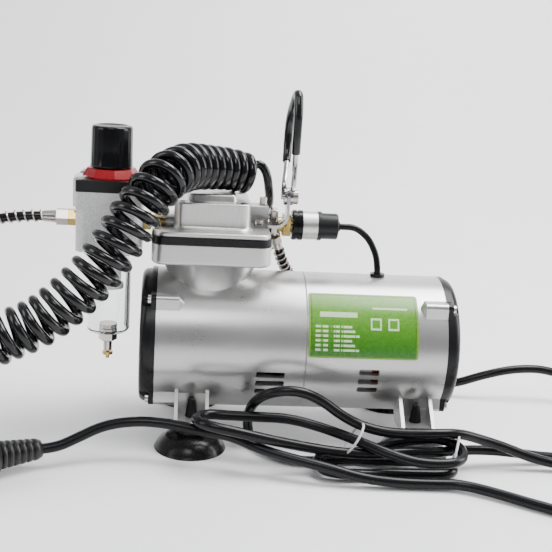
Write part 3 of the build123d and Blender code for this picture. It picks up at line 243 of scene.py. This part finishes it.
def plate():
    """Printed rating plate: green field, pale border lines, plain bars and boxes instead of its text."""
    n = Nodes("green_plate")
    sep = n.node("SeparateXYZ", {0: n.place()})
    x, y, z = sep.outputs
    angle = n.math("ARCTAN2", n.math("SUBTRACT", z, CASING_AXIS_Z * MM), n.math("MULTIPLY", y, -1.0))
    v = n.math("DIVIDE", n.math("SUBTRACT", angle, math.radians(2.5)), math.radians(55))
    u = n.math("DIVIDE", n.math("SUBTRACT", x, 0.031), 0.0716)

    def inside(value, low, high):
        return n.math("MULTIPLY", n.math("GREATER_THAN", value, low), n.math("LESS_THAN", value, high))

    def box(u0, u1, v0, v1):
        return n.math("MULTIPLY", inside(u, u0, u1), inside(v, v0, v1))

    grain = n.noise(0.003, 4)
    green = n.mix(n.ramp(grain, 0, 1), (0.026, 0.145, 0.008), (0.032, 0.165, 0.009))
    # lighter and yellower towards the top of the plate: painted reflection of the bright surroundings
    green = n.mix(n.ramp(v, 0, 1, (0.1, 0.95)), green, (0.115, 0.31, 0.016))
    col = n.mix(box(0.03, 0.97, 0.04, 0.96), (0.14, 0.30, 0.02), green)
    border = n.math("SUBTRACT", box(0.018, 0.982, 0.024, 0.976), box(0.03, 0.97, 0.04, 0.96))
    col = n.mix(border, col, (0.05, 0.13, 0.01))
    pale = (0.62, 0.78, 0.50)
    for i in range(6):
        v0 = 0.10 + i * 0.068
        rows = n.math("MULTIPLY", box(0.06, 0.46 - 0.035 * (i % 3), v0, v0 + 0.034),
                      n.ramp(n.noise(0.0016, 1, (1, 0.01, 0.01)), 0, 1, (0.42, 0.46)))
        col = n.mix(n.math("MULTIPLY", rows, 0.85), col, pale)
    for u0, u1, v0, v1 in ((0.10, 0.44, 0.60, 0.68), (0.56, 0.66, 0.42, 0.60), (0.72, 0.82, 0.42, 0.60),
                           (0.58, 0.90, 0.74, 0.77)):
        col = n.mix(n.math("MULTIPLY", box(u0, u1, v0, v1), 0.75), col, pale)
    for u0, u1, v0, v1 in ((0.575, 0.645, 0.45, 0.57), (0.735, 0.805, 0.45, 0.57)):
        col = n.mix(box(u0, u1, v0, v1), col, (0.07, 0.26, 0.015))
    n.color(col)
    n.rough(n.ramp(grain, 0.22, 0.34))
    n.bump(n.noise(0.0008, 2), 0.000008)
    return n.m


MAT["green_plate"] = plate()

slot_of = {s["node"]: s["material_slot"] for s in frame["record"]["subparts"]}
for name, obj in nodes.items():
    if slot_of.get(name) in MAT:
        for s in obj.material_slots:
            s.material = MAT[slot_of[name]]
        if not obj.material_slots:
            obj.data.materials.append(MAT[slot_of[name]])


# ---------------------------------------------------------------- mesh helpers
def new_mesh(name, verts, faces, material, smooth=True):
    mesh = bpy.data.meshes.new(name)
    mesh.from_pydata([tuple(v) for v in verts], [], faces)
    mesh.validate()
    mesh.update()
    for p in mesh.polygons:
        p.use_smooth = smooth
    mesh.materials.append(material)
    obj = bpy.data.objects.new(name, mesh)
    bpy.context.scene.collection.objects.link(obj)
    return obj


def route_points(points, resolution=12):
    """Points along the smooth curve that a cord's control points give."""
    data = bpy.data.curves.new("route", "CURVE")
    data.dimensions = "3D"
    s = data.splines.new("NURBS")
    s.points.add(len(points) - 1)
    for p, q in zip(s.points, points):
        p.co = (*[c * MM for c in q], 1)
    s.order_u = 3
    s.use_endpoint_u = True
    s.resolution_u = resolution
    obj = bpy.data.objects.new("route", data)
    bpy.context.scene.collection.objects.link(obj)
    mesh = bpy.data.meshes.new_from_object(obj)
    pts = [v.co.copy() for v in mesh.vertices]
    bpy.data.objects.remove(obj)
    bpy.data.meshes.remove(mesh)
    return pts


def resample(pts, step):
    """Evenly spaced points along a line."""
    lengths = [0.0]
    for a, b in zip(pts, pts[1:]):
        lengths.append(lengths[-1] + (b - a).length)
    total = lengths[-1]
    n = max(2, round(total / step))
    out, j = [], 0
    for i in range(n + 1):
        t = total * i / n
        while j < len(pts) - 2 and lengths[j + 1] < t:
            j += 1
        span = lengths[j + 1] - lengths[j]
        out.append(pts[j].lerp(pts[j + 1], (t - lengths[j]) / span if span > 0 else 0))
    return out, total


def frames(pts):
    """Tangent, normal and binormal along a line, turning as little as possible."""
    tangents = []
    for i in range(len(pts)):
        a, b = pts[max(0, i - 1)], pts[min(len(pts) - 1, i + 1)]
        tangents.append((b - a).normalized())
    normal = tangents[0].orthogonal().normalized()
    result = []
    for i, t in enumerate(tangents):
        if i:
            normal = (normal - t * normal.dot(t)).normalized()
        result.append((t, normal, t.cross(normal)))
    return result


def nurbs(name, points, radius, material, resolution=8, bevel=6, in_mm=True):
    """A round cord along control points."""
    data = bpy.data.curves.new(name, "CURVE")
    data.dimensions = "3D"
    s = data.splines.new("NURBS")
    s.points.add(len(points) - 1)
    scale = MM if in_mm else 1
    for p, q in zip(s.points, points):
        p.co = (*[c * scale for c in q], 1)
    s.order_u = 3
    s.use_endpoint_u = True
    s.resolution_u = resolution
    data.bevel_depth = radius
    data.bevel_resolution = bevel
    data.use_fill_caps = True
    data.materials.append(material)
    obj = bpy.data.objects.new(name, data)
    bpy.context.scene.collection.objects.link(obj)
    return obj


# ---------------------------------------------------------------- coil hose
# the axis of the manifold's lower port, which the tail runs into
branch_start = Vector((8.8, 9, 135.1))
branch_dir = Vector((0.28, 0.50, -0.82)).normalized()


def branch(distance):
    """A point on the axis of the manifold's lower port."""
    return tuple(branch_start + branch_dir * distance)


ferrule_end = (-140.5, -14, PORT_Z)
coil_route = [(-8, 5, 171.5), (-20, 1, 175.6), (-35, -8, 177.2), (-51, -22, 179.5), (-64.5, -44, 175.5),
              (-77, -55, 159.5), (-88, -62, 141), (-101.5, -67, 121), (-118, -70, 103), (-134.8, -73, 89.1),
              (-156, -77, 80.4), (-180, -80, 69), (-202, -82, 54), (-222, -83, 38), (-244, -82, 25),
              (-268, -78, 18.4), (-292, -70, 16.6), (-314, -56, 16.5)]
lead_route = [ferrule_end, (-152, -14, 142.2), (-173, -14.3, 138.6), (-203, -15, 133), (-238, -17, 126.5),
              (-273, -21, 119), (-304, -26, 109.5), (-331, -31.5, 97), (-347, -34.5, 79), (-352.5, -34, 56),
              (-347, -37, 34.5), (-338, -46, 18)]
tail_route = [(-6, 19, 176), (-1, 18.5, 177.5), (3.5, 18, 171), (5.5, 19.5, 160), (7.5, 28, 149), (5, 41, 138),
              (-4, 48.5, 121), (-13, 56, 101), (-23, 61.5, 78), (-28, 64.5, 56), (-23.5, 66, 37),
              (-10.5, 66.5, 23.5), (7, 66.5, 18.5), (24.5, 66, 23.5), (37, 64.5, 37), (41.5, 62, 56),
              (38, 56.5, 75), (29, 46, 92), branch(33), branch(17)]


def between(keys, t):
    """Value at t of straight runs between (place, value) pairs."""
    for (a, va), (b, vb) in zip(keys, keys[1:]):
        if t <= b:
            return va + (vb - va) * (t - a) / (b - a)
    return keys[-1][1]


# from the far end (0) to the head (1): turns lie slack, spread where they hang, and close up on the head
TURN_PITCH = [(0, 9.5), (0.30, 9.5), (0.40, 8.2), (0.50, 8.8), (0.66, 10.6), (0.80, 9.4), (0.88, 7.0), (1, 6.5)]
TURN_RADIUS = [(0, 13.4), (0.75, 13.6), (0.87, 12.6), (0.94, 11.4), (1, 10.6)]


def coil_points():
    """The hose's control points: straight lead, twenty for each turn of the coil, then the tail."""
    middle, total = resample(route_points(coil_route[::-1]), step=0.0004)
    axes = frames(middle)
    step = total / (len(middle) - 1)
    angle, last, out = math.radians(120), -1.0, []
    for i, p in enumerate(middle):
        t = i / (len(middle) - 1)
        angle += 2 * math.pi * step / (between(TURN_PITCH, t) * MM)
        if angle - last >= 2 * math.pi / 20:
            last = angle
            _, n, b = axes[i]
            out.append(p + (n * math.cos(angle) + b * math.sin(angle)) * between(TURN_RADIUS, t) * MM)
    # leave the last turn on its far side, on the way up
    while out and not (out[-1].y > coil_route[0][1] * MM + 0.008 and out[-1].z < coil_route[0][2] * MM):
        out.pop()
    return [Vector(p) * MM for p in lead_route] + out + [Vector(p) * MM for p in tail_route]


def hose():
    pts = coil_points()
    obj = nurbs("air_hose", pts, HOSE_R * MM, MAT["black_hose"], 3, 5, in_mm=False)
    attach(obj, "base")
    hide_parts("coil_hose", "hose_lead", "hose_tail")
    return obj


air_hose = hose()


def spring_guard(name, route, distance, length, pitch, radius, wire, material):
    """Wire spring wound round the first stretch of a hose."""
    line, total = resample(route_points(route), step=0.0005)
    axes = frames(line)
    step = total / (len(line) - 1)
    pts, angle = [], 0.0
    for i, p in enumerate(line):
        d = i * step
        if d < distance or d > distance + length:
            continue
        angle += 2 * math.pi * step / pitch
        if i % 2 == 0:
            t, n, b = axes[i]
            pts.append(p + (n * math.cos(angle) + b * math.sin(angle)) * radius)
    obj = nurbs(name, pts, wire, material, 3, 2, in_mm=False)
    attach(obj, "base")
    return obj


guard_a = spring_guard("spring_guard_port", lead_route, 0.0, 0.055, 0.0053, 0.0044, 0.0006, MAT["nickel"])
guard_b = spring_guard("spring_guard_outlet", tail_route[::-1], 0.0, 0.040, 0.0053, 0.0044, 0.0006, MAT["nickel"])

# ---------------------------------------------------------------- mains lead
gland_dir = Vector((0, math.cos(math.radians(-32)), math.sin(math.radians(-32))))
gland_end = Vector((84, 0, CASING_AXIS_Z)) + gland_dir * (42 + 15)
rear_route = [tuple(gland_end), tuple(gland_end + gland_dir * 9), (88.5, 66.5, 19), (100, 73, 12.5), (116, 74, 9),
              (136, 70, 7.5), (158, 63, 9.6), (181, 60.5, 19), (206, 60, 25), (231, 60, 24.6), (255, 55, 16),
              (273, 42, 7), (283, 22, 4), (285, -2, 3.5), (278, -26, 3.5), (262, -44, 3.5), (238, -54, 3.6),
              (212, -58, 4), (190, -61, 4.8), (171, -63, 8), (152, -63.8, 10), (134, -67.5, 11.5), (116, -75.5, 13)]
hank_route = [(96, -81, 15.5), (74, -85, 14.5), (52, -84, 14.5), (28, -84, 18), (4, -87, 23.7), (-16, -89, 29),
              (-31.6, -88.5, 32), (-39.5, -80.6, 32), (-39.5, -69.4, 30.5), (-31.6, -61.5, 29.5), (-18, -62.5, 29),
              (1, -63.5, 29), (20, -64, 28.5), (40, -69, 25), (57, -79, 22.5), (74, -91, 19.5), (92, -97, 15.5),
              (106, -98, 14.5), (119.4, -97.4, 15), (127, -89.6, 15.5), (127, -78.8, 18), (119.4, -71.2, 19.5),
              (106, -70.5, 20), (88, -72, 18), (70, -74, 12), (56, -74, 10.4), (42.1, -74, 9.8), (36.5, -79.6, 8.6),
              (36.5, -87.4, 7), (42.1, -93, 5.5), (60, -93.5, 4.5), (82, -91, 4.5), (102, -91, 4.6),
              (117.5, -90.5, 4.6), (122.5, -85.5, 4.6), (122.5, -78.5, 4.8), (117.5, -73.5, 4.8), (98, -73, 5),
              (78, -70, 4), (62, -66, 3.6), (46, -69.5, 3.6), (31, -73.5, 3.6), (16, -68, 3.6), (5, -56, 3.6),
              (-2, -44, 4.5), (-5, -40.5, 13), (-5.5, -47, 24), (-4, -59, 36), (2, -68, 45.5), (12, -72, 49.8),
              (24.5, -72.5, 50), (37, -72.5, 45), (50, -73, 35.5), (63, -74.5, 29), (78, -77, 26), (94, -79, 26)]
bight_route = [(110, -80, 27), (126, -77, 26.5), (142, -71.5, 20.5), (159, -70.5, 15), (176, -71, 8.5),
               (198, -73, 4.2), (222, -77, 3.5), (246, -87, 3.5), (262, -104, 3.5), (265, -126, 3.5), (253, -145, 3.5),
               (232, -154, 3.5), (208, -153, 3.5), (184, -144, 3.5), (162, -130, 3.6), (140, -114, 4.0),
               (122, -104.5, 4.5), (104, -104, 4.2)]
lower_route = [(84, -104, 4.5), (62, -102, 6), (40, -98, 11), (18, -92.5, 14), (0, -86, 16.8)]
plug_tip = (-134.5, -84, 13)
front_route = [(-18, -78, 22), (-36, -73.5, 22.5), (-55, -68.5, 25), (-76, -66.5, 25.7), (-96, -70.5, 23.8),
               (-112, -77.5, 17.6), (-124.5, -82.8, 13.2), plug_tip]
lead_points = rear_route + hank_route + bight_route + lower_route + front_route
mains_lead = nurbs("mains_lead", lead_points, CORD_R * MM, MAT["black_cable"], 10, 6)
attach(mains_lead, "base")
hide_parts("mains_hank", "mains_lead_rear", "mains_bight", "mains_lead_front")


# ---------------------------------------------------------------- detail pieces
def lathe(name, profile, origin, direction, material, sides=64, shape=None):
    """A turned piece: profile is (distance along the axis, radius) in mm; shape changes the radius with angle."""
    d = Vector(direction).normalized()
    n = d.orthogonal().normalized()
    b = d.cross(n)
    o = Vector(origin)
    verts, faces = [], []
    for h, r in profile:
        for i in range(sides):
            a = 2 * math.pi * i / sides
            k = shape(a, h) if shape else 1.0
            verts.append((o + d * h + (n * math.cos(a) + b * math.sin(a)) * max(r, 0.001) * k) * MM)
    for j in range(len(profile) - 1):
        for i in range(sides):
            k = (i + 1) % sides
            faces.append((j * sides + i, j * sides + k, (j + 1) * sides + k, (j + 1) * sides + i))
    obj = new_mesh(name, verts, faces, material)
    bm = bmesh.new()
    bm.from_mesh(obj.data)
    bmesh.ops.remove_doubles(bm, verts=bm.verts, dist=2e-6)
    bmesh.ops.recalc_face_normals(bm, faces=bm.faces)
    bm.to_mesh(obj.data)
    bm.free()
    for p in obj.data.polygons:
        p.use_smooth = True
    return obj


def rounded(points, corners, steps=4):
    """A profile with its listed corners rounded: corners is {index: radius}."""
    out = []
    for i, p in enumerate(points):
        if i not in corners:
            out.append(p)
            continue
        p = Vector(p)
        a = (Vector(points[i - 1]) - p).normalized() * corners[i]
        c = (Vector(points[i + 1]) - p).normalized() * corners[i]
        for k in range(steps + 1):
            t = k / steps
            out.append(tuple(p + a * (1 - t) ** 2 + c * t ** 2))
    return out


def knob():
    """Regulator knob: shallow flutes round a slightly tapered barrel, with a dished top."""
    points = [(0.0, 11.3), (0.0, 12.5), (0.6, 13.3), (1.6, 13.3), (2.2, 13.2), (12, 13.05), (24.0, 12.9), (26.2, 12.7),
              (26.4, 9.8), (25.9, 9.2), (25.7, 0.0)]
    profile = rounded(points, {7: 1.9}, 6)
    def flutes(a, h):
        return 1 - 0.010 * (0.5 + 0.5 * math.cos(24 * a)) * (1 if 2.0 < h < 25.0 else 0)
    obj = lathe("knob_cap", profile, (*REGULATOR_AXIS, KNOB_BASE_Z), (0, 0, 1), MAT["gloss_black"], 192, flutes)
    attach(obj, "knob")
    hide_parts("regulator_knob")


knob()


def plug():
    """Moulded plug: ribbed strain relief, waisted body and two round pins."""
    d = Vector((-1, -0.5, 0)).normalized()
    tip = Vector(plug_tip)
    ribs = [(-2.0, 3.35), (-2.0, 5.4), (0, 6.2)]
    h = 0.0
    while h < 24:
        r = 6.4 + 2.2 * h / 24
        ribs += [(h + 0.2, r), (h + 2.5, r + 0.35), (h + 2.7, r - 1.5), (h + 3.8, r - 1.3)]
        h += 4.0
    relief = lathe("plug_strain_relief", ribs, tip, d, MAT["plug_black"], 48)
    side = Vector((0.5, -1, 0)).normalized()
    up = Vector((0, 0, 1))
    verts, faces = [], []
    # distance from the tip, half width, half height and squareness
    sections = [(23.5, 8.2, 8.2, 2.0), (25, 10.5, 9.6, 2.2), (29, 14.0, 10.8, 2.6), (34, 15.6, 11.3, 3.0),
                (40, 15.2, 11.0, 3.2), (46, 15.8, 11.4, 3.4), (52, 17.2, 12.0, 3.6), (56.5, 17.9, 12.3, 3.8),
                (58, 17.2, 11.7, 3.8), (58.3, 14, 9, 3.4), (58.3, 0.02, 0.02, 2)]
    count = 56
    for h, a, b, power in sections:
        for i in range(count):
            t = 2 * math.pi * i / count
            c, s_ = math.cos(t), math.sin(t)
            x = math.copysign(abs(c) ** (2 / power), c) * a
            z = math.copysign(abs(s_) ** (2 / power), s_) * b
            verts.append((tip + d * h + side * x + up * z) * MM)
    for j in range(len(sections) - 1):
        for i in range(count):
            k = (i + 1) % count
            faces.append((j * count + i, j * count + k, (j + 1) * count + k, (j + 1) * count + i))
    body = new_mesh("plug_body", verts, faces, MAT["plug_black"])
    pins = []
    for sgn in (-1, 1):
        o = tip + d * 57 + side * 9.5 * sgn
        profile = rounded([(0, 2.4), (19.6, 2.35), (19.6, 0.0)], {1: 1.6}, 5)
        pins.append(lathe("plug_pin_" + ("a" if sgn < 0 else "b"), profile, o, d, MAT["nickel"], 32))
    for obj in [relief, body] + pins:
        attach(obj, "base")
    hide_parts("mains_plug")
    return [relief, body] + pins


plug_pieces = plug()


def tie(name, centre, direction, width, height):
    """A wire tie: an oval loop round a bundle, a little skewed along it."""
    d = Vector(direction).normalized()
    a = d.cross(Vector((0, 0, 1))).normalized()
    b = a.cross(d)
    c = Vector(centre)
    pts = []
    for i in range(24):
        t = 2 * math.pi * i / 24
        pts.append(c + a * width * math.cos(t) + b * height * math.sin(t) + d * math.sin(t) * 1.2)
    pts.append(pts[0])
    obj = nurbs(name, [tuple(p) for p in pts], 0.75 * MM, MAT["tie_white"], 4, 3)
    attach(obj, "base")
    return obj


ties = [tie("lead_tie_middle", (58.5, -79, 22), (1, -0.1, -0.45), 10.5, 11),
        tie("lead_tie_right", (123, -83, 17.5), (0.95, -0.29, 0), 13.5, 8)]


def gauge_marks():
    """Scale of the pressure gauge: ticks and plain numbers."""
    verts, faces = [], []
    for i in range(51):
        a = math.radians(225 - 270 * i / 50)
        major = i % 5 == 0
        r0, r1, w = (12.6 if major else 14.2), 15.6, (0.28 if major else 0.12)
        out = Vector((-math.cos(a), 0, math.sin(a)))
        side = Vector((math.sin(a), 0, math.cos(a)))
        base = len(verts)
        for r, s_ in ((r0, -w), (r0, w), (r1, w), (r1, -w)):
            verts.append((Vector((REGULATOR_AXIS[0], DIAL_Y, PORT_Z)) + out * r + side * s_) * MM)
        faces.append((base, base + 1, base + 2, base + 3))
    marks = new_mesh("gauge_ticks", verts, faces, MAT["needle_black"], False)
    solid = marks.modifiers.new("thick", "SOLIDIFY")
    solid.thickness = 0.00012
    solid.offset = 0
    pieces = [marks]
    for i in range(0, 11, 2):
        a = math.radians(225 - 27 * i)
        data = bpy.data.curves.new(f"gauge_number_{i}", "FONT")
        data.body = str(i)
        data.size = 3.4 * MM
        data.align_x = data.align_y = "CENTER"
        data.extrude = 0.00005
        data.materials.append(MAT["needle_black"])
        obj = bpy.data.objects.new(f"gauge_number_{i}", data)
        obj.location = Vector((REGULATOR_AXIS[0] - 10.0 * math.cos(a), DIAL_Y, PORT_Z + 10.0 * math.sin(a))) * MM
        obj.rotation_euler = (math.pi / 2, 0, math.pi)
        bpy.context.scene.collection.objects.link(obj)
        pieces.append(obj)
    for obj in pieces:
        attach(obj, "base")


gauge_marks()

# ---------------------------------------------------------------- stage and light
def stage():
    mat = Nodes("floor")
    mat.color(mat.mix(mat.ramp(mat.noise(0.2, 3), 0, 1), (0.86, 0.86, 0.86), (0.89, 0.89, 0.89)))
    mat.set(Roughness=0.45)
    w, front, back, height, radius = 3.0, -2.5, 1.1, 2.4, 0.7
    profile = [(front, 0), (back - radius, 0)]
    for i in range(1, 13):
        a = math.pi / 2 * i / 12
        profile.append((back - radius + radius * math.sin(a), radius - radius * math.cos(a)))
    profile.append((back, height))
    verts, faces = [], []
    for y, z in profile:
        verts += [(-w, y, z - 0.00002), (w, y, z - 0.00002)]
    for i in range(len(profile) - 1):
        faces.append((2 * i, 2 * i + 1, 2 * i + 3, 2 * i + 2))
    floor = new_mesh("floor", verts, faces, mat.m)

    def area(name, where, at, size, power):
        data = bpy.data.lights.new(name, "AREA")
        data.shape = "RECTANGLE"
        data.size, data.size_y = size
        data.energy = power
        obj = bpy.data.objects.new(name, data)
        obj.location = where
        obj.rotation_euler = (Vector(at) - Vector(where)).to_track_quat("-Z", "Y").to_euler()
        bpy.context.scene.collection.objects.link(obj)

    area("key", (0.45, 0.10, 1.25), (0.0, 0.0, 0.08), (1.0, 0.6), 26)
    area("front", (-0.2, -1.1, 1.3), (0, 0, 0.08), (0.5, 0.5), 7)
    area("left", (-1.2, -0.35, 0.7), (0, 0, 0.08), (0.5, 0.9), 6)
    area("right", (1.25, -0.05, 0.6), (0, 0, 0.08), (0.6, 0.9), 16)
    area("backdrop", (0.9, 0.1, 1.6), (0.55, 1.1, 0.5), (0.8, 0.5), 14)
    # the studio is dimmer on the camera's side, so metal shows dark fronts and bright edges
    world = bpy.data.worlds.new("world")
    world.use_nodes = True
    t = world.node_tree
    direction = t.nodes.new("ShaderNodeSeparateXYZ")
    t.links.new(t.nodes.new("ShaderNodeTexCoord").outputs["Generated"], direction.inputs[0])
    power = t.nodes.new("ShaderNodeMapRange")
    t.links.new(direction.outputs[1], power.inputs[0])
    for socket, value in zip(list(power.inputs)[1:5], (-0.85, -0.1, 0.22, 0.85)):
        socket.default_value = value
    t.links.new(power.outputs[0], t.nodes["Background"].inputs[1])
    t.nodes["Background"].inputs[0].default_value = (0.95, 0.97, 1, 1)
    bpy.context.scene.world = world


stage()
